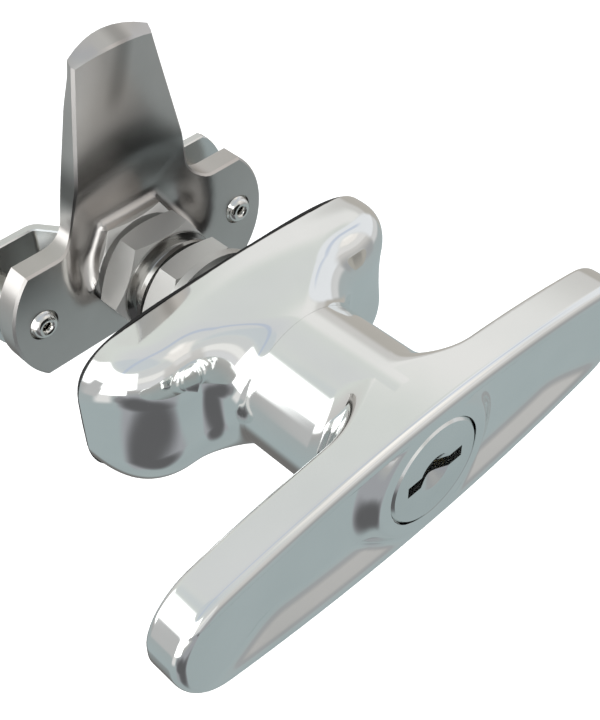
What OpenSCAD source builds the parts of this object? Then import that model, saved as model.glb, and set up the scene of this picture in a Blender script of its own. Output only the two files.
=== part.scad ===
// T-handle cam latch: a locking T-bar that turns a cam behind a panel.
// Millimetres. The spindle runs along Y: the handle is at -Y, the cam at +Y.
// The origin is on the spindle's axis, at the gasket's rear face, where the panel is.

/* [Handle] */
// Half length of the T-bar
bar_half = 55.5; // [50:0.5:62]
// Half height of the T-bar at its middle
bar_h = 14.6; // [13:0.2:16]
// Half height that the T-bar's edges run to at its ends
bar_h_end = 9; // [8:0.2:10]
// Distance from the panel to the flat front of the T-bar
bar_front = 50; // [48:0.5:54]
// Depth of an arm, front to rear
arm_depth = 8.4; // [7:0.2:10]
// Radius of the round stem
stem_r = 14.7; // [14.2:0.1:15.5]
// Depth of the finger scoops
scoop_d = 2.6; // [1:0.2:3]

/* [Escutcheon] */
// Half length of the oval flange
fl_a = 35.2; // [33:0.1:40]
// Half height of the oval flange
fl_b = 16.7; // [15.5:0.1:18]
// Distance from the panel to the end of the neck
neck_y = 19.3; // [18:0.1:19.3]
// Thickness of the gasket
gasket_t = 0.6; // [0.4:0.1:1.4]

/* [Barrel and nuts] */
// Outer radius of the barrel's thread
barrel_r = 8; // [7.5:0.1:8.5]
// Thickest panel that fits
panel_max = 4.4; // [3:0.1:4.4]
// Width across flats of the nuts
nut_af = 22; // [21:0.5:24]
// Thickness of the nuts
nut_t = 6.4; // [5.5:0.1:6.4]

/* [Cam] */
// Thickness of the cam plate
cam_t = 5.2; // [4.6:0.1:5.2]
// Distance between the rod pins
pin_pitch = 49.1; // [46:0.1:52]
// Radius of the rod pins
pin_r = 3.15; // [2.5:0.05:3.4]
// Height of the tongue's tip above the axis
tongue_z = 50.2; // [45:0.1:56]
// Room for a rod end between an ear and the bracket
rod_gap = 5.9; // [5.2:0.1:7]

/* [Lock] */
// Radius of the lock's face
plug_r = 10.45; // [10:0.05:10.45]
// Radius of the round mouth of the keyway
key_r = 3.7; // [3:0.1:4]
// Width of the keyway
key_w = 13.4; // [10:0.2:14]
// Stroke of the lock pin
pin_stroke = 4; // [3:0.1:4.5]

/* [Hidden] */
$fn = 64;
chrome = [0.82, 0.84, 0.82];
satin = [0.55, 0.54, 0.52];
nut_r = nut_af / sqrt(3);
cham = 0.134 * nut_r * tan(30);
y_wash = panel_max;               // washer's front face
y_mn = y_wash + 1.7;              // mount nut's front face
y_mn1 = y_mn + nut_t;             // its rear face
y_bar = y_mn1 + 0.7;              // end of the barrel
y_tw = y_bar + 0.2;               // thrust washer
y_col = y_tw + 0.6;               // collar
y_jn = 17.8;                      // jam nut's front face
y_jn1 = y_jn + nut_t;
y_boss = y_jn1 + 1.7;             // front of the cam's hexagon boss
y_cam = 25.2;                     // front of the cam's ears
y_cam1 = y_cam + cam_t;           // rear of the cam
y_arm = y_cam1 + rod_gap;         // front of the bracket's arms
sheet_t = 2;
x_pin = pin_pitch / 2;
y_bf = -bar_front;
y_stem = -neck_y - 0.3;           // stem's rear face
y_cross = -23.6;                  // cross pin
lockpin_c = 10.5;                 // lock pin's distance from the axis
lockpin_r = 2;
ease = function(t) t <= 0 ? 0 : t >= 1 ? 1 : t * t * (3 - 2 * t);
// half width of the escutcheon at a distance d in front of the panel
bell = function(d) stem_r + (fl_a - 0.8 * pow(min(1, d / 4.7), 2) - stem_r) * (1 - ease(pow(max(0, (d - 4.7) / (neck_y - 4.7)), 1.2)));
// half height of it
bell_z = function(d) stem_r + (fl_b - stem_r) * (1 - ease((d - 7) / (neck_y - 7)));
// half height of the T-bar at x
bar_z = function(x) bar_h - (bar_h - bar_h_end) * pow(abs(x) / bar_half, 2);
// rear edge of the arms at x
arm_y = function(x) y_bf + arm_depth - 0.5 * pow(abs(x) / bar_half, 3);
y_tip = y_bf + arm_depth - 1.7;   // centre of the tips' rear corners

// a cylinder along +Y from y0 to y1
module rod(r, y0, y1, f = 64) translate([0, y0, 0]) rotate([-90, 0, 0]) cylinder(r = r, h = y1 - y0, $fn = f);
// a ring along Y
module ring(ro, ri, y0, y1) difference() { rod(ro, y0, y1); rod(ri, y0 - 1, y1 + 1); }
// a plate of an outline drawn in X and Z, from y0 to y1
module plate(y0, y1) translate([0, y1, 0]) rotate([90, 0, 0]) linear_extrude(y1 - y0) children();
// the flange's oval, a superellipse
module oval(a, b, n = 4.4) polygon([for (i = [0:71]) let (c = cos(i * 5), s = sin(i * 5))
    [a * sign(c) * pow(abs(c), 2 / n), b * sign(s) * pow(abs(s), 2 / n)]]);
// a hexagon nut with chamfered faces and corners at the sides
module hex_nut(y0, y1, bore) difference() {
    intersection() {
        rod(nut_r, y0, y1, 6);
        translate([0, y0, 0]) rotate([-90, 0, 0]) rotate_extrude() polygon([[0, 0], [nut_r - 0.134 * nut_r, 0],
            [nut_r, cham], [nut_r, y1 - y0 - cham], [nut_r - 0.134 * nut_r, y1 - y0], [0, y1 - y0]]);
    }
    rod(bore, y0 - 1, y1 + 1);
}

// outline of the ears: a bar with round ends
module ear_outline(zt, zb) intersection() {
    translate([-40, zb]) square([80, zt - zb]);
    union() { for (s = [-1, 1]) translate([s * 13.9, 0]) circle(r = 17.2); translate([-20, zb]) square([40, zt - zb]); }
}

module escutcheon() color(chrome) difference() {
    union() {
        intersection() {
            // plan of the bell
            translate([0, 0, -20]) linear_extrude(40) polygon(concat(
                [for (i = [0:20]) let (d = gasket_t + (neck_y - gasket_t) * i / 20) [bell(d), -d]],
                [for (i = [20:-1:0]) let (d = gasket_t + (neck_y - gasket_t) * i / 20) [-bell(d), -d]]));
            // its height
            translate([-40, 0, 0]) rotate([90, 0, 90]) linear_extrude(80) polygon(concat(
                [for (i = [0:12]) let (d = gasket_t + (neck_y - gasket_t) * i / 12) [-d, bell_z(d)]],
                [for (i = [12:-1:0]) let (d = gasket_t + (neck_y - gasket_t) * i / 12) [-d, -bell_z(d)]]));
            plate(-neck_y - 1, 0) oval(fl_a, fl_b);
        }
        rod(barrel_r, -2, y_bar);
        // lug that keeps the barrel from turning in the panel's hole
        translate([-2, -2, -barrel_r - 2]) cube([4, 5, 4]);
    }
    rod(6, -neck_y - 1, y_bar + 1);
    // seat of the o-ring
    rod(8.6, -neck_y - 1, -neck_y + 1.6);
    // sockets of the lock pin, one for each end of the turn
    for (a = [0, 90]) rotate([0, a, 0]) translate([0, 0, lockpin_c]) rod(lockpin_r + 0.4, -neck_y - 1, -neck_y + pin_stroke + 1.2);
    // seat of the stop pin
    rotate([0, 225, 0]) translate([0, 0, lockpin_c]) rod(1.5, -neck_y - 1, -neck_y + 6);
}

module gasket() color([0.06, 0.06, 0.06]) difference() {
    plate(-gasket_t, 0) oval(fl_a - 0.4, fl_b - 0.4);
    rod(barrel_r + 2.6, -3, 2);
}

module mount_washer() color(satin) ring(13, barrel_r + 0.2, y_wash, y_mn);
module mount_nut() color(satin) hex_nut(y_mn, y_mn1, barrel_r);
module spindle_bush() color([0.75, 0.6, 0.3]) ring(6, 5.05, -neck_y + 1.7, y_bar);
module stop_pin() color(satin) rotate([0, 225, 0]) translate([0, 0, lockpin_c]) rod(1.5, -neck_y - 2.2, -neck_y + 6);

module t_handle() color(chrome) difference() {
    union() {
        // stem
        rod(stem_r, -36, y_stem);
        intersection() {
            // plan: arms that taper to round tips, with wide fillets to the stem
            translate([0, 0, -20]) linear_extrude(40) polygon(concat(
                [[-bar_half + 1.4, y_bf], [bar_half - 1.4, y_bf], [bar_half, y_bf + 1.4]],
                [for (i = [0:4]) let (a = i * 18) [bar_half - 1.2 + 1.2 * cos(a), y_tip + 1.2 * sin(a)]],
                [for (i = [0:7]) let (x = bar_half - 3.5 - (bar_half - 27.5) * i / 7) [x, arm_y(x)]],
                [for (i = [0:8]) let (a = 270 - i * 11.25) [stem_r + 8 + 8 * cos(a), y_bf + arm_depth + 8 + 8 * sin(a)]],
                [for (i = [8:-1:0]) let (a = 270 - i * 11.25) [-stem_r - 8 - 8 * cos(a), y_bf + arm_depth + 8 + 8 * sin(a)]],
                [for (i = [7:-1:0]) let (x = bar_half - 3.5 - (bar_half - 27.5) * i / 7) [-x, arm_y(x)]],
                [for (i = [4:-1:0]) let (a = i * 18) [-bar_half + 1.2 - 1.2 * cos(a), y_tip + 1.2 * sin(a)]],
                [[-bar_half, y_bf + 1.4]]));
            // front outline: tallest at the middle, with round ends
            plate(y_bf - 1, 0) polygon(concat(
                [for (i = [-12:12]) let (x = i / 12 * (bar_half - 9)) [x, bar_z(x)]],
                [for (i = [1:5]) let (a = 80 - i * 16) [bar_half - 8 + 8 * cos(a), bar_z(bar_half - 8) - 8 + 8 * sin(a)]],
                [for (i = [5:-1:1]) let (a = 80 - i * 16) [bar_half - 8 + 8 * cos(a), 8 - bar_z(bar_half - 8) - 8 * sin(a)]],
                [for (i = [12:-1:-12]) let (x = i / 12 * (bar_half - 9)) [x, -bar_z(x)]],
                [for (i = [1:5]) let (a = 80 - i * 16) [8 - bar_half - 8 * cos(a), 8 - bar_z(bar_half - 8) - 8 * sin(a)]],
                [for (i = [5:-1:1]) let (a = 80 - i * 16) [8 - bar_half - 8 * cos(a), bar_z(bar_half - 8) - 8 + 8 * sin(a)]]));
        }
    }
    // finger scoops in the front face
    for (s = [-1, 1]) intersection() {
        translate([s * 32, y_bf - 70.5 + scoop_d, -8.6]) cylinder(r = 70.5, h = 17.2, $fn = 180);
        translate([s * 32 - 20, y_bf - 5, -8.6]) cube([40, 15, 17.2]);
    }
    // seat of the lock's face, bore of the lock shell, and room for the tail cam
    rod(plug_r + 0.25, y_bf - 1, y_bf + 3.1);
    rod(8.5, y_bf, -31.5);
    // hollow of the stem, open to the rear
    rod(12.8, -31.6, 0);
    // bore of the cross pin, from below
    translate([0, y_cross, -16]) cylinder(r = 1.5, h = 8);
}

// round block that closes the stem and carries the spindle
module stem_insert() color([0.7, 0.7, 0.7]) difference() {
    rod(12.8, -26, y_stem);
    rod(5, -30, 0);
    // bore of the lock pin
    translate([0, 0, lockpin_c]) rod(lockpin_r + 0.05, -29, 0);
    // bore of the cross pin
    translate([0, y_cross, -16]) cylinder(r = 1.5, h = 22.8);
    // groove for the stop pin, a quarter turn long
    translate([0, y_stem + 0.01, 0]) rotate([90, 0, 0]) rotate([0, 0, -145.5]) rotate_extrude(angle = 111) translate([lockpin_c - 1.8, 0]) square([3.6, 2.6]);
}

module spindle() color([0.6, 0.6, 0.6]) difference() {
    union() {
        rod(5, -26, y_boss);
        // flats that carry the cam
        intersection() { rod(5, y_boss - 1, y_cam1 + sheet_t); translate([-4, 0, -6]) cube([8, 60, 12]); }
        // thread of the end nut
        rod(3.9, y_cam1, y_cam1 + sheet_t + 10.4);
    }
    translate([0, y_cross, -16]) cylinder(r = 1.5, h = 22.8);
}

module cross_pin() color(satin) translate([0, y_cross, -13.2]) cylinder(r = 1.5, h = 20);
module o_ring() color([0.05, 0.05, 0.05]) translate([0, -neck_y + 0.7, 0]) rotate([90, 0, 0]) rotate_extrude() translate([7.5, 0]) circle(r = 0.88);
module thrust_washer() color(satin) ring(10.9, 5, y_tw, y_col);
module flared_collar() color([0.5, 0.5, 0.49]) difference() {
    translate([0, y_col, 0]) rotate([-90, 0, 0]) rotate_extrude() polygon(concat([[4, 0], [10.8, 0]],
        [for (i = [0:8]) [10.8 - 2.2 * sin(22.5 * i), 0.4 + (y_jn - y_col - 0.8) * i / 8]], [[10.8, y_jn - y_col], [4, y_jn - y_col]]));
    rod(5, 0, 30);
}
module jam_nut() color(satin) hex_nut(y_jn, y_jn1, 5);
module lock_washer() color([0.3, 0.3, 0.3]) difference() {
    ring(9.2, 5, y_jn1, y_boss);
    translate([-0.5, 0, -12]) cube([1, 40, 8]);
}

module cam() color(satin) difference() {
    union() {
        difference() {
            union() {
                plate(y_cam, y_cam1) union() {
                    ear_outline(12.2, -12.6);
                    // tongue, with fillets to the ears and a round tip
                    difference() {
                        union() {
                            intersection() {
                                polygon([[-16.75, 0], [16.75, 0], [8.66, 47.6], [8.66, 52], [-8.66, 52], [-8.66, 47.6]]);
                                translate([0, tongue_z - 15]) circle(r = 15);
                            }
                            polygon([[-16.75, 0], [16.75, 0], [9.5, 42.6], [-9.5, 42.6]]);
                            polygon([[-18.65, 12], [-13.85, 17.2], [13.85, 17.2], [18.65, 12]]);
                        }
                        for (s = [-1, 1]) translate([s * 19.05, 17.4]) circle(r = 5.2);
                    }
                }
            }
            // lead-in ramps on both faces of the tongue
            translate([-20, 0, 0]) rotate([90, 0, 90]) linear_extrude(40) polygon([[y_cam - 1, 22], [y_cam, 22], [y_cam + 1.0, 52], [y_cam - 1, 52]]);
            translate([-20, 0, 0]) rotate([90, 0, 90]) linear_extrude(40) polygon([[y_cam1 + 1, 22], [y_cam1, 22], [y_cam1 - 1.0, 52], [y_cam1 + 1, 52]]);
            // dish around the upper half of the boss
            intersection() {
                rod(19.5, y_cam - 1, y_cam1 - 1.4);
                translate([-12.9, y_cam - 1, 0.5]) cube([25.8, 10, 30]);
            }
            // seat of the lock washer
            rod(9.5, y_cam - 1, y_boss);
        }
        // hexagon boss, flush with the ears
        rod(nut_r, y_boss, y_cam1 - 0.5, 6);
    }
    // bore with flats
    intersection() { rod(5, 0, 50); translate([-4, 0, -6]) cube([8, 60, 12]); }
    // holes of the rod pins
    for (s = [-1, 1]) translate([s * x_pin, 0, 0]) rod(pin_r, y_cam - 1, y_cam1 + 1);
}

// sheet bent back on both sides, so that each arm stands behind an ear
module rod_bracket() color([0.62, 0.63, 0.62]) difference() {
    intersection() {
        translate([0, 0, -12.1]) linear_extrude(24.2) polygon([
            [-32, y_arm], [-16.6, y_arm], [-12.4, y_cam1], [12.4, y_cam1], [16.6, y_arm], [32, y_arm],
            [32, y_arm + sheet_t], [15.6, y_arm + sheet_t], [11.4, y_cam1 + sheet_t], [-11.4, y_cam1 + sheet_t], [-15.6, y_arm + sheet_t], [-32, y_arm + sheet_t]]);
        plate(0, 60) ear_outline(12.1, -12.1);
    }
    intersection() { rod(5, 0, 60); translate([-4, 0, -6]) cube([8, 80, 12]); }
    for (s = [-1, 1]) translate([s * x_pin, 0, 0]) rod(pin_r, y_arm - 1, y_arm + sheet_t + 1);
}

// tubular rivets with rolled heads
module rod_pins() color(chrome) for (s = [-1, 1]) translate([s * x_pin, 0, 0]) difference() {
    union() {
        rod(pin_r, y_cam - 0.6, y_arm + sheet_t + 0.6);
        translate([0, y_cam - 0.6, 0]) rotate([90, 0, 0]) rotate_extrude() polygon([[0, 0], [pin_r, 0], [pin_r - 0.1, 0.4], [pin_r - 0.5, 0.8], [pin_r - 1.1, 1], [0, 1]]);
        translate([0, y_arm + sheet_t, 0]) rotate([-90, 0, 0]) rotate_extrude() polygon([[0, 0], [pin_r + 1, 0], [pin_r + 0.9, 0.6], [pin_r + 0.4, 1.1], [pin_r - 0.6, 1.4], [0, 1.4]]);
    }
    rod(1.2, y_cam - 3, y_cam + 4);
    rod(1.2, y_arm - 2, y_arm + sheet_t + 3);
}

module end_washer() color(satin) ring(8, 4.1, y_cam1 + sheet_t, y_cam1 + sheet_t + 1.6);
module end_nut() color(satin) translate([0, y_cam1 + sheet_t + 1.6, 0]) difference() {
    rotate([-90, 0, 0]) rotate([0, 0, 30]) cylinder(r = 13 / sqrt(3), h = 6.5, $fn = 6);
    rod(3.9, -1, 10);
}

module lock_shell() color([0.7, 0.6, 0.35]) ring(8.5, 6.5, y_bf + 3.1, -31.6);

module lock_plug() color(chrome) difference() {
    union() {
        // face, a hair proud of the handle's front, with a chamfered rim
        translate([0, y_bf - 0.2, 0]) rotate([-90, 0, 0]) rotate_extrude() polygon([[0, 0], [plug_r - 0.5, 0], [plug_r, 0.5], [plug_r, 3], [0, 3]]);
        rod(6.45, y_bf + 2, -31.4);
        rod(3, -31.5, -27.6);
    }
    // keyway
    translate([-key_w / 2, y_bf - 1, -1.2]) cube([key_w, 5, 2.5]);
    translate([-3.6, y_bf - 1, -1.2]) cube([7.2, 15.4, 2.5]);
    translate([0, y_bf - 0.21, 0]) rotate([-90, 0, 0]) cylinder(r1 = key_r, r2 = key_r - 2.8, h = 1.4);
    // slots of the wafers
    for (i = [0:3]) translate([-5, y_bf + 6 + 2.2 * i, -7]) cube([10, 1.1, 14]);
}

module wafers() color([0.72, 0.6, 0.3]) for (i = [0:3]) translate([0, y_bf + 6.05 + 2.2 * i, 0]) difference() {
    translate([-4.9, 0, -4.2]) cube([9.8, 1, 8.4]);
    translate([-3.9, -1, -2.5 + 0.4 * (i % 2)]) cube([7.8, 3, 4.6]);
}

// disc with a ramp in front of the lock pin
module tail_cam() color(satin) difference() {
    union() {
        rod(12.5, -31.3, -29.9);
        // steps of the ramp that pushes the lock pin as the key turns
        for (k = [2:2:6]) let (h = pin_stroke * (15 * k - 12) / 90) translate([0, -29.9 + h, 0]) rotate([90, 0, 0])
            rotate([0, 0, 90 + 15 * k]) rotate_extrude(angle = 105 - 15 * k + 3 * k) translate([8.6 - 0.2 * k / 2, 0]) square([3.2 + 0.4 * k / 2, h + 0.5]);
    }
    rod(3, -40, 0);
}

module tail_clip() color([0.25, 0.25, 0.25]) difference() { ring(4.6, 3, -29.9, -29.2); translate([-1.2, -32, 0]) cube([2.4, 6, 8]); }

module lock_pin() color(satin) translate([0, 0, lockpin_c]) union() {
    rod(lockpin_r, -29.6, y_stem - 0.2);
}

escutcheon();
gasket();
mount_washer();
mount_nut();
spindle_bush();
stop_pin();
t_handle();
stem_insert();
spindle();
cross_pin();
o_ring();
thrust_washer();
flared_collar();
jam_nut();
lock_washer();
cam();
rod_bracket();
rod_pins();
end_washer();
end_nut();
lock_shell();
lock_plug();
wafers();
tail_cam();
tail_clip();
lock_pin();
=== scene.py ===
import bpy
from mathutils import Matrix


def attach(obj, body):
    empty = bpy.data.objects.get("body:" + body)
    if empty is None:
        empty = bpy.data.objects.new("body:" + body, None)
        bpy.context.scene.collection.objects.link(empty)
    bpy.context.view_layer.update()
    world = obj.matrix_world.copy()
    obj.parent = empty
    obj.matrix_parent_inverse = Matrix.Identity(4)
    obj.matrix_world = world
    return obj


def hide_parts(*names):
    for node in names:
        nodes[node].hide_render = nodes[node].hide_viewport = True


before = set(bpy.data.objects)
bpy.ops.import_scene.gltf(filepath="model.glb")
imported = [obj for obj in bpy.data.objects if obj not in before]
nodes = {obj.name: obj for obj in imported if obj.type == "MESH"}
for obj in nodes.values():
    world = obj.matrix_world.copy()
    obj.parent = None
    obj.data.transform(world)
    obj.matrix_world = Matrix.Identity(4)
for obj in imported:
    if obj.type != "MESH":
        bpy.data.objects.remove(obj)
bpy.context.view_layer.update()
import bpy, math
import numpy as np
from mathutils import Matrix, Vector
from mathutils.geometry import delaunay_2d_cdt

MM = 0.001
scene = bpy.context.scene
coll = scene.collection


# ---------------------------------------------------------------- shapes as distance fields (millimetres)
def ease(t):
    t = np.clip(t, 0, 1)
    return t * t * (3 - 2 * t)


def cut(a, b, r):
    """Intersection of two fields with a round edge of radius r."""
    return np.minimum(np.maximum(a, b), -r) + np.hypot(np.maximum(a + r, 0), np.maximum(b + r, 0))


def join(a, b, r):
    """Union of two fields with a fillet of radius r."""
    return np.maximum(np.minimum(a, b), r) - np.hypot(np.maximum(r - a, 0), np.maximum(r - b, 0))


def gradient(f, P, e=0.004):
    g = np.empty_like(P)
    for i in range(3):
        d = np.zeros(3)
        d[i] = e
        A, B = P + d, P - d
        g[:, i] = (f(*A.T) - f(*B.T)) / (2 * e)
    return g


def surface(f, lo, hi, h):
    """Quads on the zero set of f: surface nets on a grid, then each vertex is brought onto the surface."""
    ax = [np.arange(a, b + h, h) for a, b in zip(lo, hi)]
    v = f(*np.meshgrid(*ax, indexing="ij"))
    s = v < 0
    corner = lambda a, i, j, k: a[i:a.shape[0] - 1 + i, j:a.shape[1] - 1 + j, k:a.shape[2] - 1 + k]
    n = sum(corner(s, i, j, k).astype(int) for i in (0, 1) for j in (0, 1) for k in (0, 1))
    cell = (n > 0) & (n < 8)
    idx = np.full(cell.shape, -1)
    idx[cell] = np.arange(cell.sum())
    acc, num = np.zeros(cell.shape + (3,)), np.zeros(cell.shape)
    for axis in range(3):
        for p in (0, 1):
            for q in (0, 1):
                o = [p, q]
                o.insert(axis, 0)
                a = corner(v, *o)
                o2 = list(o)
                o2[axis] = 1
                b = corner(v, *o2)
                x = (a < 0) != (b < 0)
                t = np.where(x, a / np.where(x, a - b, 1), 0)
                for m in range(3):
                    acc[..., m] += x * (t if m == axis else o[m])
                num += x
    P = (np.argwhere(cell) + acc[cell] / num[cell][:, None]) * h + np.array(lo)
    faces = []
    for axis in range(3):
        a = np.moveaxis(s, axis, 0)
        I = np.moveaxis(idx, axis, 0)
        x = a[:-1] != a[1:]
        w = np.argwhere(x[:, 1:-1, 1:-1]) + np.array([0, 1, 1])
        i, j, k = w.T
        q = np.stack([I[i, j - 1, k - 1], I[i, j, k - 1], I[i, j, k], I[i, j - 1, k]], 1)
        flip = a[i, j, k] ^ (axis == 1)
        q[~flip] = q[~flip][:, ::-1]
        faces.append(q)
    for _ in range(10):
        g = gradient(f, P)
        step = (f(*P.T) / np.maximum((g * g).sum(1), 1e-3))[:, None] * g
        size = np.linalg.norm(step, axis=1)[:, None]
        P = P - step * np.minimum(1, 0.4 * h / np.maximum(size, 1e-9))
    return P, np.concatenate(faces)


def build(name, P, faces):
    me = bpy.data.meshes.new(name)
    me.from_pydata((np.asarray(P, float) * MM).tolist(), [], [list(map(int, q)) for q in faces])
    me.validate()
    me.update()
    ob = bpy.data.objects.new(name, me)
    coll.objects.link(ob)
    return ob


def smooth_by_field(me, f, limit=0.8):
    """Corner normals from the field's gradient where the face agrees with it, and flat elsewhere."""
    P = np.empty(len(me.vertices) * 3)
    me.vertices.foreach_get("co", P)
    g = gradient(f, P.reshape(-1, 3) / MM, 0.02)
    g /= np.maximum(np.linalg.norm(g, axis=1), 1e-9)[:, None]
    me.polygons.foreach_set("use_smooth", np.ones(len(me.polygons), bool))
    corner, count, fn = np.empty(len(me.loops), int), np.empty(len(me.polygons), int), np.empty(len(me.polygons) * 3)
    me.loops.foreach_get("vertex_index", corner)
    me.polygons.foreach_get("loop_total", count)
    me.polygons.foreach_get("normal", fn)
    fn = np.repeat(fn.reshape(-1, 3), count, axis=0)
    n = g[corner]
    out = np.where(((n * fn).sum(1) > limit)[:, None], n, fn)
    me.normals_split_custom_set(out.tolist())


def lathe(name, prof, seg=96, closed=True):
    """A turned piece about Y from (radius, y) points, counter-clockwise seen with radius to the right and y up."""
    prof = np.asarray(prof, float)
    n = len(prof)
    a = np.linspace(0, 2 * np.pi, seg, endpoint=False)
    P = np.stack([np.outer(np.cos(a), prof[:, 0]), np.tile(prof[:, 1], (seg, 1)), np.outer(np.sin(a), prof[:, 0])], 2).reshape(-1, 3)
    F = []
    for i in range(seg):
        i2 = (i + 1) % seg
        for j in range(n if closed else n - 1):
            j2 = (j + 1) % n
            F.append((i * n + j, i * n + j2, i2 * n + j2, i2 * n + j))
    return build(name, P, F)


def difference(ob, cutter):
    m = ob.modifiers.new("cut", "BOOLEAN")
    m.operation, m.solver, m.object = "DIFFERENCE", "EXACT", cutter
    dg = bpy.context.evaluated_depsgraph_get()
    me = bpy.data.meshes.new_from_object(ob.evaluated_get(dg))
    old = ob.data
    ob.modifiers.clear()
    ob.data = me
    bpy.data.meshes.remove(old)
    c = cutter.data
    bpy.data.objects.remove(cutter)
    bpy.data.meshes.remove(c)


# ---------------------------------------------------------------- handle
BAR, STEM, FRONT = 55.5, 14.7, -50.0


def bar_height(x):
    return 14.6 - 5.6 * (x / BAR) ** 2


def least(a, b, k):
    """The lesser of two, with the corner between them rounded."""
    h = np.maximum(k - np.abs(a - b), 0) / k
    return np.minimum(a, b) - h * h * k / 4


def scoop(x, z):
    """Depth of the finger scoops: steep above, a flat floor and a wide slope below."""
    ax = np.abs(x)
    h = bar_height(x)
    d = least(2.6 * ease((52.5 - ax) / 20), 0.62 * (h - 1.7 + z), 0.8)
    d = least(d, 1.6 * (h - 2.6 - z), 0.5)
    d = least(d, 0.75 * (np.hypot(x, z) - 13.3), 1.5)
    return -least(-d, 0 * x, 0.6)


def handle_field(x, y, z):
    ax = np.abs(x)
    stem = np.hypot(x, z) - STEM
    rear = -41.65 - 0.5 * (ax / BAR) ** 3
    body = join(stem, y - rear, 7.5)
    # outline seen from the front
    edge = (np.abs(z) - bar_height(x)) / np.sqrt(1 + (11.2 * x / BAR ** 2) ** 2)
    outline = cut(edge, ax - BAR + 0.012 * z * z, 8.0)
    body = cut(body, outline, 1.0)
    body = cut(body, FRONT + scoop(x, z) - y, 0.7 + 1.2 * ease((z + 9) / 8))
    return np.minimum(body, np.maximum(stem, -42 - y))


P, F = surface(lambda x, y, z: np.maximum(handle_field(x, y, z), y + 18.6), (-57.0, -51.5, -16.0), (57.0, -17.6, 16.0), 0.4)
t_handle = build("handle_casting", P, F)
cutter = lathe("cutter", [(0.001, -55), (10.7, -55), (10.7, -46.9), (8.5, -46.9), (8.5, -31.6), (12.8, -31.6), (12.8, -19.42), (30, -19.42), (30, -10), (0.001, -10)], 128)
difference(t_handle, cutter)
smooth_by_field(t_handle.data, handle_field)


# ---------------------------------------------------------------- escutcheon
def sweep(t):
    t = np.clip(t, 0, 1)
    return t ** 3 * (t * (6 * t - 15) + 10)


def bell_b(d):
    return 14.7 + 2.0 * (1 - sweep((d - 2.0) / 17.4))


def bell_field(x, y, z):
    """A thick flange with a slightly hollow front and round edges, filleted into the neck."""
    d, ax, az = np.clip(-y, 0, 19.4), np.abs(x), np.abs(z)
    k = 1 - ease(d / 12)
    wing = cut(ax - 35.3 + 0.0021 * np.minimum(az, 17) ** 2 * k, -13.0 + 0.0437 * (ax - 22) - 0.0098 * z * z - y, 13.9)
    side = join(wing, ax - 14.7, 4.8)
    top = az - bell_b(d) + 0.0018 * np.minimum(ax, 36) ** 2 * k
    r = 10.2 - 1.8 * ease(z / 24 + 0.5)
    r = r + (14.7 - r) * ease((d - 11.2) / 8.2)
    return cut(cut(side, top, r), y + 0.6, 0.4)


P, F = surface(lambda x, y, z: np.maximum(bell_field(x, y, z), -21 - y), (-36.5, -22, -18), (36.5, 0.5, 18), 0.33)
bell = build("escutcheon_bell", P, F)
cutter = lathe("cutter", [(0.001, -25), (30, -25), (30, -19.4), (8.6, -19.4), (8.6, -17.7), (6.0, -17.7), (6.0, 5), (0.001, 5)], 96)
difference(bell, cutter)
# sockets of the lock pin at both ends of the turn, and the seat of the stop pin
for x, z, r, y in ((0, 10.5, 2.4, -14.1), (10.5, 0, 2.4, -14.1), (-7.425, -7.425, 1.5, -13.3)):
    t = np.linspace(0, 2 * np.pi, 40, endpoint=False)
    ring = lambda yy: np.stack([x + r * np.cos(t), yy + 0 * t, z + r * np.sin(t)], 1)
    walls = [(i, 40 + i, 40 + (i + 1) % 40, (i + 1) % 40) for i in range(40)]
    difference(bell, build("cutter", np.concatenate([ring(-22), ring(y)]), walls + [range(40), range(79, 39, -1)]))
smooth_by_field(bell.data, bell_field)


def thread(name, r, depth, bore, y0, y1, pitch, seg=72):
    """A threaded sleeve along Y with a helical ridge."""
    per = 6
    n = int((y1 - y0) / pitch * per) + 1
    ys = np.linspace(y0, y1, n)
    a = np.linspace(0, 2 * np.pi, seg, endpoint=False)
    A, Y = np.meshgrid(a, ys, indexing="ij")
    w = np.abs(((Y / pitch - A / (2 * np.pi)) % 1) * 2 - 1)
    end = np.minimum(1, np.minimum(Y - y0, y1 - Y) / (0.7 * pitch))
    R = r - depth * (1 - np.clip(w * 1.35 - 0.15, 0, 1) * np.clip(end, 0, 1))
    V = [np.stack([R * np.cos(A), Y, R * np.sin(A)], 2).reshape(-1, 3)]
    V.append(np.stack([bore * np.cos(a), np.full(seg, y0), bore * np.sin(a)], 1))
    V.append(np.stack([bore * np.cos(a), np.full(seg, y1), bore * np.sin(a)], 1))
    F = []
    b0, b1 = seg * n, seg * n + seg
    for i in range(seg):
        k = (i + 1) % seg
        for j in range(n - 1):
            F.append((i * n + j, i * n + j + 1, k * n + j + 1, k * n + j))
        F.append((i * n, k * n, b0 + k, b0 + i))
        F.append((i * n + n - 1, b1 + i, b1 + k, k * n + n - 1))
        F.append((b0 + i, b0 + k, b1 + k, b1 + i))
    return build(name, np.concatenate(V), F)


barrel = thread("escutcheon_barrel", 8.0, 0.55, 6.0, -0.5, 13.2, 1.5)


# ---------------------------------------------------------------- cam
Y_EAR, Y_BACK, Y_BOSS, HEX = 25.2, 30.4, 25.9, 12.70


def arc(cx, cz, r, a0, a1, n):
    a = np.radians(np.linspace(a0, a1, n))
    return [(cx + r * math.cos(t), cz + r * math.sin(t)) for t in a]


def dense(pts, step):
    out = []
    for (x0, z0), (x1, z1) in zip(pts, pts[1:] + pts[:1]):
        k = max(1, int(math.hypot(x1 - x0, z1 - z0) / step + 0.5))
        out += [(x0 + (x1 - x0) * i / k, z0 + (z1 - z0) * i / k) for i in range(k)]
    return np.array(out)


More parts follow.
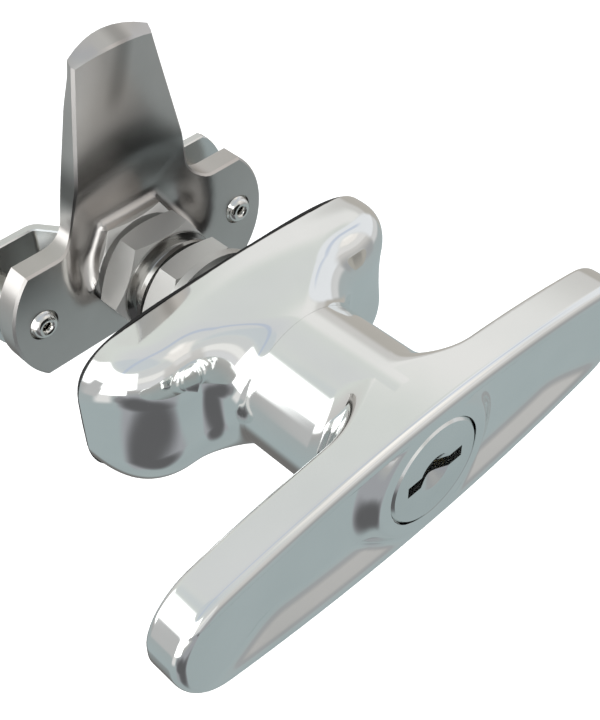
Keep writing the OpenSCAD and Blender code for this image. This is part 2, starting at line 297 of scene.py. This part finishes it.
def cam_outline():
    a = math.degrees(math.asin(12.6 / 17.2))
    b = math.degrees(math.asin(12.2 / 17.2))
    right = arc(13.9, 0, 17.2, -a, b, 26)
    right += arc(19.1, 17.4, 5.2, 270, 188, 9)
    right += [(8.65, 47.4)]
    right += [(6.3, 48.25), (4.2, 48.75), (2.1, 49.05), (0, 49.15)]
    left = [(-x, z) for x, z in right[-2::-1]]
    return dense(right + left, 0.9)


def inset(p, d):
    """A counter-clockwise polygon's points moved inwards by d."""
    e = np.roll(p, -1, 0) - p
    n = np.stack([-e[:, 1], e[:, 0]], 1) / np.linalg.norm(e, axis=1)[:, None]
    m = n + np.roll(n, 1, 0)
    m /= np.maximum((m * m).sum(1), 0.6)[:, None] / 2
    return p + m * d


def hex_radius(t):
    """Radius of the hexagon, corners on the X axis, in direction t."""
    u = (t + np.pi / 6) % (np.pi / 3) - np.pi / 6
    u = np.abs(np.abs(u) - np.pi / 6)
    return HEX * math.cos(np.pi / 6) / np.cos(u)


def half_width(z):
    return np.interp(z, [17.4, 47.4], [13.9, 8.65])


def across(x, z):
    return np.clip(np.abs(x) / half_width(z), 0, 1.15) ** 2


def cam_front(x, z):
    t = np.arctan2(z, x)
    d = np.hypot(x, z) - hex_radius(t)
    up = ease((z - 13) / 6)
    y = Y_EAR + up * (0.9 * ease((z - 16) / 34) * across(x, z) - 0.7 * (1 - across(x, z)) * ease((z - 20) / 14))
    # hollow above the boss, which comes forward again to the tongue
    dish = 4.2 * (1 - ease((d - 2.4) / 13.5)) * ease((z + 2) / 9) * (1 - ease((np.abs(x) - 12.5) / 6))
    r = 2.3
    foot = r - np.sqrt(np.maximum(r * r - np.clip(r - d, 0, r) ** 2, 0))
    return y + dish - np.minimum(foot, np.maximum(dish - 0.4, 0))


def cam_rear(x, z):
    return Y_BACK + 0.35 * ease((z - 13) / 4) - ease((z - 16) / 32) * (1.3 + 0.6 * across(x, z)) - 1.2 * across(x, z) * ease((z - 38) / 11)


def triangles(points, loops):
    """Triangles inside the outer loop and outside the hole loops."""
    pts = [Vector(p) for p in points]
    edges = [(l[i], l[(i + 1) % len(l)]) for l in loops for i in range(len(l))]
    v, _, f, orig, _, _ = delaunay_2d_cdt(pts, edges, [list(loops[0])] + [list(l) for l in loops[1:]], 0, 1e-6)
    return v, f, orig


def inside(poly, q):
    x, z = q[:, 0], q[:, 1]
    c = np.zeros(len(q), bool)
    for (x0, z0), (x1, z1) in zip(poly, np.roll(poly, -1, 0)):
        m = (z0 > z) != (z1 > z)
        c ^= m & (x < (x1 - x0) * (z - z0) / (z1 - z0 if z1 != z0 else 1e-9) + x0)
    return c


def loop_distance(poly, q):
    return np.min(np.hypot(q[:, None, 0] - poly[None, :, 0], q[:, None, 1] - poly[None, :, 1]), 1)


def cdt_face(outer, holes, extra):
    """Points and triangles of a flat region."""
    pts = np.concatenate([outer] + holes + [extra])
    loops, k = [], 0
    for l in [outer] + holes:
        loops.append(list(range(k, k + len(l))))
        k += len(l)
    v, f, orig = triangles(pts, loops)
    v = np.array([tuple(p) for p in v])
    F = np.array([list(t) for t in f if len(t) == 3])
    c = v[F].mean(1)
    keep = inside(outer, c)
    for hl in holes:
        keep &= ~inside(hl, c)
    F = F[keep]
    a, b, c = v[F[:, 0]], v[F[:, 1]], v[F[:, 2]]
    area = (b[:, 0] - a[:, 0]) * (c[:, 1] - a[:, 1]) - (b[:, 1] - a[:, 1]) * (c[:, 0] - a[:, 0])
    F[area < 0] = F[area < 0][:, ::-1]
    where = {}
    for new, olds in enumerate(orig):
        for o in olds:
            where.setdefault(o, new)
    return v, F, [[where[i] for i in l] for l in loops]


def cam_mesh():
    out = cam_outline()
    bev = 0.45
    th = np.linspace(0, 2 * np.pi, 96, endpoint=False)
    hexl = np.stack([hex_radius(th) * np.cos(th), hex_radius(th) * np.sin(th)], 1)
    tp = np.linspace(0, 2 * np.pi, 40, endpoint=False)
    holes = [np.stack([s * 24.55 + 3.2 * np.cos(tp), 3.2 * np.sin(tp)], 1) for s in (-1, 1)]
    rings = [hexl * ((np.hypot(*hexl.T) + d) / np.hypot(*hexl.T))[:, None] for d in (0.12, 0.3, 0.55, 0.9, 1.35, 2.0, 2.8, 3.8, 5.0, 6.4, 8.0)]
    gx, gz = np.meshgrid(np.arange(-31, 31, 1.1), np.arange(-13, 51, 1.1), indexing="ij")
    grid = np.stack([gx.ravel() + 0.01, gz.ravel() + 0.013], 1)
    grid = grid[np.hypot(*grid.T) - hex_radius(np.arctan2(grid[:, 1], grid[:, 0])) > 8.6]
    ex = np.concatenate(rings + [grid])
    fi = inset(out, bev)
    ok = inside(fi, ex) & (loop_distance(fi, ex) > 0.55)
    for hl in holes:
        ok &= ~inside(hl, ex) & (loop_distance(hl, ex) > 0.45)
    ex = ex[ok]
    V, F = [], []

    def add(p):
        k = sum(len(q) for q in V)
        V.append(np.asarray(p, float))
        return k

    # front
    v, f, lp = cdt_face(fi, [hexl] + holes, ex)
    k0 = add(np.stack([v[:, 0], cam_front(v[:, 0], v[:, 1]), v[:, 1]], 1))
    F += (f + k0).tolist()
    # rear
    w, g, lq = cdt_face(fi, [np.stack([5.4 * np.cos(tp), 5.4 * np.sin(tp)], 1)] + holes, ex)
    k1 = add(np.stack([w[:, 0], cam_rear(w[:, 0], w[:, 1]), w[:, 1] + 1.0 * ease((w[:, 1] - 45.0) / 1.9)], 1))
    F += (g[:, ::-1] + k1).tolist()
    # side wall with chamfers
    n = len(out)
    wf = add(np.stack([out[:, 0], cam_front(out[:, 0], out[:, 1]) + bev, out[:, 1]], 1))
    lift = lambda x, z: z + 1.0 * ease((z - 45.5) / 1.9)
    wr = add(np.stack([out[:, 0], cam_rear(out[:, 0], out[:, 1]) - bev, lift(out[:, 0], out[:, 1])], 1))
    for i in range(n):
        j = (i + 1) % n
        F.append((k0 + lp[0][j], k0 + lp[0][i], wf + i, wf + j))
        F.append((wf + j, wf + i, wr + i, wr + j))
        F.append((wr + j, wr + i, k1 + lq[0][i], k1 + lq[0][j]))
    # pin holes
    for a, b in zip(lp[2:], lq[2:]):
        for i in range(len(a)):
            j = (i + 1) % len(a)
            F.append((k0 + a[i], k0 + a[j], k1 + b[j], k1 + b[i]))
    ob = build("cam_casting", np.concatenate(V), F)
    me = ob.data
    me.polygons.foreach_set("use_smooth", np.ones(len(me.polygons), bool))
    me.set_sharp_from_angle(angle=math.radians(28))
    return ob


cam = cam_mesh()


def boss_mesh():
    """Hexagon boss with a turned front, rooted in the cam's plate."""
    n = 96
    th = np.linspace(0, 2 * np.pi, n, endpoint=False)
    rr = hex_radius(th)
    rows = [(rr - 0.02, Y_BACK - 0.4), (rr - 0.02, Y_BOSS + np.maximum(0, rr - 10.9) * 0.5 + 0.12), (rr - 0.14, Y_BOSS + np.maximum(0, rr - 10.9) * 0.5),
            (10.9 + 0 * th, Y_BOSS + 0 * th), (5.4 + 0 * th, Y_BOSS + 0 * th), (5.4 + 0 * th, Y_BACK - 0.4)]
    V = np.concatenate([np.stack([r * np.cos(th), y + 0 * th, r * np.sin(th)], 1) for r, y in rows])
    m = len(rows)
    F = [(k * n + i, k * n + (i + 1) % n, (k + 1) % m * n + (i + 1) % n, (k + 1) % m * n + i) for k in range(m) for i in range(n)]
    ob = build("cam_boss", V, F)
    ob.data.polygons.foreach_set("use_smooth", np.ones(n * m, bool))
    ob.data.set_sharp_from_angle(angle=math.radians(22))
    return ob


boss = boss_mesh()


# ---------------------------------------------------------------- bracket of bent sheet
def bracket_mesh():
    t, rb = 2.0, 2.2
    y0, y1 = 31.4, 37.3
    ang = math.atan2(y1 - y0, 4.2)
    # half of the middle line, from the centre out: flat, bend, slope, bend, flat
    pts = [(0.0, y0)]
    for x in np.linspace(1.5, 10.5, 7):
        pts.append((x, y0))
    rad = rb + t / 2
    cut_len = rad * math.tan(ang / 2)
    xa, xb = 12.0, 16.2
    sx, sy = (xb - xa), (y1 - y0)
    L = math.hypot(sx, sy)
    ux, uy = sx / L, sy / L
    for i in range(9):
        q = i / 8
        u = 1 - q
        p0 = (xa - cut_len * 0.8, y0)
        p1 = (xa, y0)
        p2 = (xa + ux * cut_len * 0.8, y0 + uy * cut_len * 0.8)
        pts.append((u * u * p0[0] + 2 * u * q * p1[0] + q * q * p2[0], u * u * p0[1] + 2 * u * q * p1[1] + q * q * p2[1]))
    for i in range(9):
        q = i / 8
        u = 1 - q
        p0 = (xb - ux * cut_len * 0.8, y1 - uy * cut_len * 0.8)
        p1 = (xb, y1)
        p2 = (xb + cut_len * 0.8, y1)
        pts.append((u * u * p0[0] + 2 * u * q * p1[0] + q * q * p2[0], u * u * p0[1] + 2 * u * q * p1[1] + q * q * p2[1]))
    for x in np.concatenate([np.linspace(20, 27, 7), 31.05 - 4.05 * np.cos(np.linspace(0.2, np.pi / 2, 14))]):
        pts.append((x, y1))
    half = np.array(pts)
    mid = np.concatenate([half[:0:-1] * [-1, 1], half])
    tan = np.gradient(mid, axis=0)
    tan /= np.linalg.norm(tan, axis=1)[:, None]
    nrm = np.stack([-tan[:, 1], tan[:, 0]], 1)
    ax = np.abs(mid[:, 0])
    zz = np.where(ax > 13.9, np.sqrt(np.maximum(17.2 ** 2 - (np.maximum(ax, 13.9) - 13.9) ** 2, 0)), 99)
    zz = np.minimum(zz, 12.1)
    zz[0] = zz[-1] = max(zz[1] * 0.4, 0.5)
    prof = [(-1, 1 - 0.25 / 1), (-1 + 0.25, 1), (1 - 0.25, 1), (1, 1 - 0.25)]
    V, F = [], []
    n = len(mid)
    c = 0.25
    for (x, y), (nx, ny), z in zip(mid, nrm, zz):
        ring = [(-1, -z + c), (-1, z - c), (-1 + c, z), (1 - c, z), (1, z - c), (1, -z + c), (1 - c, -z), (-1 + c, -z)]
        for o, zv in ring:
            V.append((x + nx * o, y + ny * o, zv))
    for i in range(n - 1):
        for j in range(8):
            k = (j + 1) % 8
            F.append((i * 8 + j, (i + 1) * 8 + j, (i + 1) * 8 + k, i * 8 + k))
    F.append(tuple(range(8)))
    F.append(tuple(range((n - 1) * 8 + 7, (n - 1) * 8 - 1, -1)))
    ob = build("bracket_sheet", V, F)
    ob.data.polygons.foreach_set("use_smooth", np.ones(len(ob.data.polygons), bool))
    ob.data.set_sharp_from_angle(angle=math.radians(30))
    return ob


bracket = bracket_mesh()

rivets = []
for side, x in (("left", -24.55), ("right", 24.55)):
    rv = lathe("rivet_" + side, [(0.001, 27.0), (0.75, 26.9), (0.85, 25.0), (0.95, 24.35), (1.2, 24.0), (1.6, 23.85), (2.0, 23.95), (2.4, 24.25),
                                 (2.65, 24.7), (2.75, 25.1), (3.15, 25.5), (3.15, 38.3), (4.15, 38.3), (4.1, 38.8), (3.75, 39.3), (3.1, 39.6),
                                 (2.2, 39.7), (1.5, 39.55), (1.1, 39.2), (0.9, 38.4), (0.001, 38.2)], 64)
    rv.location.x = x * MM
    rivets.append(rv)


# ---------------------------------------------------------------- materials
def material(name, dark, light, rough, metallic=1.0, scale=60.0, bump=0.02, fine=900.0, stretch=(1, 1, 1)):
    """A surface whose tone and gloss vary a little from place to place."""
    m = bpy.data.materials.new(name)
    m.use_nodes = True
    nt = m.node_tree
    nt.nodes.clear()
    N, L = nt.nodes.new, nt.links.new
    out, bs = N("ShaderNodeOutputMaterial"), N("ShaderNodeBsdfPrincipled")
    L(bs.outputs[0], out.inputs[0])
    tc, mp = N("ShaderNodeTexCoord"), N("ShaderNodeMapping")
    mp.inputs["Scale"].default_value = stretch
    L(tc.outputs["Object"], mp.inputs["Vector"])
    nz = N("ShaderNodeTexNoise")
    nz.inputs["Scale"].default_value = scale
    nz.inputs["Detail"].default_value = 4
    L(mp.outputs[0], nz.inputs["Vector"])
    cr = N("ShaderNodeValToRGB")
    cr.color_ramp.elements[0].position, cr.color_ramp.elements[1].position = 0.35, 0.65
    cr.color_ramp.elements[0].color, cr.color_ramp.elements[1].color = (*dark, 1), (*light, 1)
    L(nz.outputs["Fac"], cr.inputs[0])
    L(cr.outputs[0], bs.inputs["Base Color"])
    mr = N("ShaderNodeMapRange")
    mr.inputs["From Min"].default_value, mr.inputs["From Max"].default_value = 0.3, 0.7
    mr.inputs["To Min"].default_value, mr.inputs["To Max"].default_value = rough
    L(nz.outputs["Fac"], mr.inputs["Value"])
    L(mr.outputs[0], bs.inputs["Roughness"])
    bs.inputs["Metallic"].default_value = metallic
    if bump:
        n2, bp = N("ShaderNodeTexNoise"), N("ShaderNodeBump")
        n2.inputs["Scale"].default_value = fine
        n2.inputs["Detail"].default_value = 2
        L(mp.outputs[0], n2.inputs["Vector"])
        bp.inputs["Strength"].default_value = bump
        bp.inputs["Distance"].default_value = 0.0004
        L(n2.outputs["Fac"], bp.inputs["Height"])
        L(bp.outputs[0], bs.inputs["Normal"])
    return m


M = {
    "chrome": material("chrome", (0.86, 0.875, 0.865), (0.9, 0.91, 0.9), (0.05, 0.075), bump=0.0),
    "lock_chrome": material("lock_chrome", (0.80, 0.82, 0.81), (0.86, 0.875, 0.865), (0.12, 0.18), bump=0.02),
    "cast_satin": material("cast_satin", (0.55, 0.53, 0.51), (0.61, 0.59, 0.57), (0.28, 0.34), bump=0.02),
    "zinc_steel": material("zinc_steel", (0.54, 0.535, 0.515), (0.60, 0.595, 0.575), (0.33, 0.4), metallic=0.7, bump=0.02),
    "sheet_steel": material("sheet_steel", (0.72, 0.73, 0.72), (0.79, 0.8, 0.79), (0.2, 0.28), bump=0.02),
    "polished_steel": material("polished_steel", (0.74, 0.73, 0.7), (0.82, 0.81, 0.78), (0.08, 0.14), bump=0.01),
    # a darker copy of polished steel: painted shade for the washer and collar in the shade between the nuts
    "shaded_polished_steel": material("shaded_polished_steel", (0.34, 0.335, 0.325), (0.42, 0.415, 0.40), (0.1, 0.17), bump=0.01),
    "dark_steel": material("dark_steel", (0.2, 0.19, 0.18), (0.26, 0.25, 0.24), (0.3, 0.4), bump=0.02),
    "brass": material("brass", (0.62, 0.46, 0.2), (0.7, 0.53, 0.25), (0.2, 0.3), bump=0.02),
    "rubber": material("rubber", (0.004, 0.004, 0.004), (0.009, 0.009, 0.009), (0.6, 0.75), metallic=0.0, bump=0.1),
}



def paint_tongue_shade(m):
    """Painted shade in the colour: a dark arch in the hollow above the boss and a faint dark stripe of painted shade
    down from the tongue's tip.
    """
    nt = m.node_tree
    N, L = nt.nodes.new, nt.links.new
    bs = next(n for n in nt.nodes if n.type == "BSDF_PRINCIPLED")
    ramp = bs.inputs["Base Color"].links[0].from_socket
    tc, sx = N("ShaderNodeTexCoord"), N("ShaderNodeSeparateXYZ")
    L(tc.outputs["Object"], sx.inputs[0])

    def op(kind, a, b=0.0):
        n = N("ShaderNodeMath")
        n.operation = kind
        for k, v in enumerate((a, b)):
            if hasattr(v, "links"):
                L(v, n.inputs[k])
            else:
                n.inputs[k].default_value = v
        return n.outputs[0]

    def step(v, a, b, lo=0.0, hi=1.0):
        n = N("ShaderNodeMapRange")
        n.interpolation_type = "SMOOTHSTEP"
        L(v, n.inputs["Value"])
        for k, q in zip(("From Min", "From Max", "To Min", "To Max"), (a, b, lo, hi)):
            n.inputs[k].default_value = q
        return n.outputs[0]

    x, z = op("MULTIPLY", sx.outputs["X"], 1000), op("MULTIPLY", sx.outputs["Z"], 1000)
    left = op("POWER", op("MAXIMUM", op("MULTIPLY", x, -1), 0), 2)
    right = op("POWER", op("MAXIMUM", op("SUBTRACT", x, 1), 0), 2)
    u = op("SUBTRACT", z, op("SUBTRACT", 28.5, op("ADD", op("MULTIPLY", left, 0.02), op("MULTIPLY", right, 0.055))))
    # light: below the arch on the left, where the painted shade is held back
    light = op("MULTIPLY", step(u, -3.0, -7.5), step(x, 4, -3))
    # dark: painted shade in the hollow above the boss, under the arched line where u is 0
    dark = op("MULTIPLY", op("MULTIPLY", step(u, 5.5, -1.5), op("SUBTRACT", 1, light)), step(u, -19, -5, 0.25, 1))
    dark = op("MULTIPLY", op("MULTIPLY", dark, step(op("ABSOLUTE", x), 17.5, 13)), step(z, 9, 13))
    # a faint dark stripe of painted shade down from the tongue's tip
    painted_streak = op("ABSOLUTE", op("SUBTRACT", x, op("ADD", op("MULTIPLY", z, 0.348), -15.6)))
    painted_streak = op("MULTIPLY", op("MULTIPLY", step(painted_streak, 3.0, 0.2), step(z, 35, 41)), 0.4)
    # strength of the painted shade, from the arch and the stripe at the tip
    fac = op("MAXIMUM", op("MULTIPLY", dark, 0.8), painted_streak)
    # mix the painted shade into the base colour, towards a dark tone
    mx = N("ShaderNodeMix")
    mx.data_type = "RGBA"
    L(fac, mx.inputs["Factor"])
    L(ramp, mx.inputs[6])
    mx.inputs[7].default_value = (0.11, 0.105, 0.1, 1)
    L(mx.outputs[2], bs.inputs["Base Color"])


# paint shade into the cast satin's colour on the tongue
paint_tongue_shade(M["cast_satin"])

SLOT = {
    "escutcheon": "chrome", "gasket": "rubber", "mount_washer": "zinc_steel", "mount_nut": "zinc_steel",
    "spindle_bush": "brass", "stop_pin": "dark_steel", "t_handle": "chrome", "stem_insert": "cast_satin",
    "spindle": "polished_steel", "cross_pin": "dark_steel", "o_ring": "rubber", "thrust_washer": "polished_steel",
    "flared_collar": "polished_steel", "jam_nut": "zinc_steel", "lock_washer": "dark_steel", "cam": "cast_satin",
    "rod_bracket": "sheet_steel", "rod_pins": "polished_steel", "end_washer": "zinc_steel", "end_nut": "zinc_steel",
    "lock_shell": "brass", "lock_plug": "lock_chrome", "wafers": "brass", "tail_cam": "dark_steel",
    "tail_clip": "dark_steel", "lock_pin": "dark_steel",
}
for name, ob in nodes.items():
    s = SLOT[name]
    ob.data.materials.clear()
    # the thrust washer and flared collar get the darker copy of polished steel, painted shade between the nuts
    ob.data.materials.append(M["shaded_polished_steel" if name in ("thrust_washer", "flared_collar") else s])
for name, w in (("mount_nut", 0.12), ("jam_nut", 0.12), ("mount_washer", 0.12), ("thrust_washer", 0.1), ("lock_plug", 0.12),
                ("end_nut", 0.12), ("end_washer", 0.1), ("gasket", 0.1), ("lock_washer", 0.1)):
    b = nodes[name].modifiers.new("edge", "BEVEL")
    b.width, b.segments, b.limit_method, b.angle_limit = w * MM, 2, "ANGLE", math.radians(35)
    b.harden_normals = False

for ob, body, node in ((t_handle, "handle", "t_handle"), (bell, "housing", "escutcheon"), (barrel, "housing", "escutcheon"),
                       (cam, "handle", "cam"), (boss, "handle", "cam"), (bracket, "handle", "rod_bracket"),
                       (rivets[0], "handle", "rod_pins"), (rivets[1], "handle", "rod_pins")):
    ob.data.materials.clear()
    tone = "zinc_steel" if ob is boss else SLOT[node]
    ob.data.materials.append(M[tone])
    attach(ob, body)
    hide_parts(node)
for ob in (barrel, *rivets):
    ob.data.polygons.foreach_set("use_smooth", np.ones(len(ob.data.polygons), bool))
    ob.data.set_sharp_from_angle(angle=math.radians(40))

# ---------------------------------------------------------------- floor, light, camera
me = bpy.data.meshes.new("floor")
S = 6.0
me.from_pydata([(-S, -S, -0.45), (S, -S, -0.45), (S, S, -0.45), (-S, S, -0.45)], [], [(0, 1, 2, 3)])
floor = bpy.data.objects.new("floor", me)
coll.objects.link(floor)
fm = bpy.data.materials.new("floor_white")
fm.use_nodes = True
bs = fm.node_tree.nodes["Principled BSDF"]
bs.inputs["Base Color"].default_value = (0.9, 0.9, 0.9, 1)
bs.inputs["Roughness"].default_value = 0.9
bs.inputs["Emission Color"].default_value = (1, 1, 1, 1)
bs.inputs["Emission Strength"].default_value = 0.55
me.materials.append(fm)
floor.visible_glossy = False


def studio():
    """A soft room: pale ceiling, darker low walls and one long white panel at the left."""
    w = bpy.data.worlds.new("studio")
    scene.world = w
    w.use_nodes = True
    nt = w.node_tree
    nt.nodes.clear()
    N, L = nt.nodes.new, nt.links.new
    out, bg = N("ShaderNodeOutputWorld"), N("ShaderNodeBackground")
    L(bg.outputs[0], out.inputs[0])
    tc = N("ShaderNodeTexCoord")

    def vmath(op, a, b):
        n = N("ShaderNodeVectorMath")
        n.operation = op
        for s, v in zip(n.inputs, (a, b)):
            if hasattr(v, "links"):
                L(v, s)
            else:
                s.default_value = v
        return n.outputs["Value"] if op == "DOT_PRODUCT" else n.outputs[0]

    def fmath(op, a, b=0.0, c=None):
        n = N("ShaderNodeMath")
        n.operation = op
        for s, v in zip(n.inputs, (a, b) if c is None else (a, b, c)):
            if hasattr(v, "links"):
                L(v, s)
            else:
                s.default_value = v
        return n.outputs[0]

    def span(x, a, b):
        n = N("ShaderNodeMapRange")
        n.interpolation_type = "SMOOTHSTEP"
        L(x, n.inputs["Value"])
        n.inputs["From Min"].default_value, n.inputs["From Max"].default_value = a, b
        return n.outputs[0]

    def mix(fac, a, b):
        n = N("ShaderNodeMix")
        n.data_type = "RGBA"
        L(fac, n.inputs["Factor"])
        for s, v in ((n.inputs[6], a), (n.inputs[7], b)):
            if hasattr(v, "links"):
                L(v, s)
            else:
                s.default_value = (*v, 1)
        return n.outputs[2]

    d = vmath("NORMALIZE", tc.outputs["Generated"], (0, 0, 0))
    sep = N("ShaderNodeSeparateXYZ")
    L(d, sep.inputs[0])
    x, y, z = sep.outputs
    # turn (0 in front, negative at the left) and height, in degrees
    turn = fmath("MULTIPLY", fmath("ARCTAN2", x, fmath("MULTIPLY", y, -1.0)), 57.2958)
    height = fmath("MULTIPLY", fmath("ARCSINE", z), 57.2958)
    ramp = N("ShaderNodeValToRGB")
    el = ramp.color_ramp.elements
    stops = [(-90, (0.375, 0.43, 0.435)), (-67, (0.365, 0.42, 0.43)), (-45, (0.385, 0.445, 0.455)), (-20, (0.40, 0.44, 0.445)), (-6, (0.44, 0.435, 0.43)),
             (6, (0.61, 0.595, 0.58)), (22, (0.65, 0.635, 0.62)), (45, (0.71, 0.735, 0.70)), (62, (0.69, 0.70, 0.70)), (90, (0.66, 0.67, 0.69))]
    el[0].position, el[0].color = 0, (*stops[0][1], 1)
    el[1].position, el[1].color = 1, (*stops[-1][1], 1)
    for h, c in stops[1:-1]:
        e = el.new((h + 90) / 180)
        e.color = (*c, 1)
    L(fmath("MULTIPLY_ADD", height, 1 / 180, 0.5), ramp.inputs[0])
    col = ramp.outputs[0]

    def patch(col, t0, t1, h0, h1, soft, tone, weight=1.0, level=height):
        """A soft-edged patch of the room's wall between two turns and two heights."""
        m = fmath("MULTIPLY", span(turn, t0 - soft, t0 + soft), span(turn, t1 + soft, t1 - soft))
        n = fmath("MULTIPLY", span(level, h0 - soft, h0 + soft), span(level, h1 + soft, h1 - soft))
        return mix(fmath("MULTIPLY", fmath("MULTIPLY", m, n), weight), col, tone)

    def lobe(col, t, h, a, b, tone):
        """A round soft spot, a and b degrees in radius."""
        t, h = math.radians(t), math.radians(h)
        c = (math.sin(t) * math.cos(h), -math.cos(t) * math.cos(h), math.sin(h))
        return mix(span(vmath("DOT_PRODUCT", d, c), math.cos(math.radians(b)), math.cos(math.radians(a))), col, tone)

    # upper front and left, cool
    col = patch(col, -142, 8, 48, 84, 8, (0.60, 0.64, 0.67), 0.9)
    # front wall in steps
    col = patch(col, -42, 2, 14, 30, 4, (0.88, 0.87, 0.85))
    col = patch(col, -42, 18, 30, 48, 4, (0.66, 0.67, 0.67))
    col = patch(col, -42, 0, -3, 14, 4, (0.72, 0.72, 0.73))
    # warm light at the front right, cooler one at the right
    col = patch(col, 20, 62, 31, 58, 5, (0.92, 0.885, 0.85))
    col = patch(col, 36, 60, 44, 58, 5, (1.08, 1.04, 1.0))
    col = patch(col, 18, 62, 14, 31, 4, (0.77, 0.755, 0.745))
    col = patch(col, 62, 104, -2, 57, 5, (0.825, 0.84, 0.865))
    col = patch(col, 62, 100, -16, -2, 4, (0.66, 0.66, 0.66))
    col = patch(col, 104, 142, 28, 46, 5, (0.84, 0.83, 0.815))
    col = patch(col, 102, 160, -30, 12, 5, (0.48, 0.455, 0.42))
    col = patch(col, 140, 166, -32, -3, 5, (0.22, 0.21, 0.20))
    # dark low front, darkest along an arc
    col = patch(col, -72, 14, -62, -13, 6, (0.36, 0.36, 0.385), 0.85)
    col = patch(col, 4, 62, -24, -9, 4, (0.36, 0.36, 0.37), 0.7)
    col = lobe(col, -67, -25, 3, 12, (0.24, 0.24, 0.25))
    for t, h in ((-51, -35), (-42, -43), (-29, -50), (-14, -54)):
        col = lobe(col, t, h, 2, 20, (0.12, 0.12, 0.125))
    col = lobe(col, 172, -57, 8, 30, (0.17, 0.165, 0.16))
    col = patch(col, -106, -82, -32, -12, 5, (0.80, 0.79, 0.78))
    # a thin bluish edge across the ceiling
    line = fmath("MULTIPLY", fmath("MULTIPLY", span(y, -0.20, -0.12), span(y, -0.01, -0.08)), span(z, 0.5, 0.7))
    col = mix(fmath("MULTIPLY", line, 0.6), col, (0.46, 0.53, 0.68))
    # long white panel at the left, with a grey post in front of its foot
    col = patch(col, -142, -43, 1, 43, 3.5, (2.4, 2.43, 2.43))
    col = patch(col, -101, -58, -13, 3, 2, (2.2, 2.2, 2.2))
    col = patch(col, -121, -103, -20, 13, 3, (0.52, 0.52, 0.52))
    L(col, bg.inputs[0])
    bg.inputs[1].default_value = 1.0


studio()
scene.view_settings.view_transform = "Standard"
scene.view_settings.look = "None"

cd = bpy.data.cameras.new("camera")
cd.sensor_fit, cd.sensor_height, cd.sensor_width = "VERTICAL", 36.0, 30.0
cd.lens = 1204.196 / 720 * 36
cd.clip_start, cd.clip_end = 0.01, 100
co = bpy.data.objects.new("camera", cd)
coll.objects.link(co)
X, Y, Z = Vector((0.71281, -0.7012, -0.015)), Vector((0.50355, 0.49676, 0.70687)), Vector((-0.48821, -0.51142, 0.70718))
co.matrix_world = Matrix(((X[0], Y[0], Z[0], -0.10397), (X[1], Y[1], Z[1], -0.12724), (X[2], Y[2], Z[2], 0.15437), (0, 0, 0, 1)))
scene.camera = co
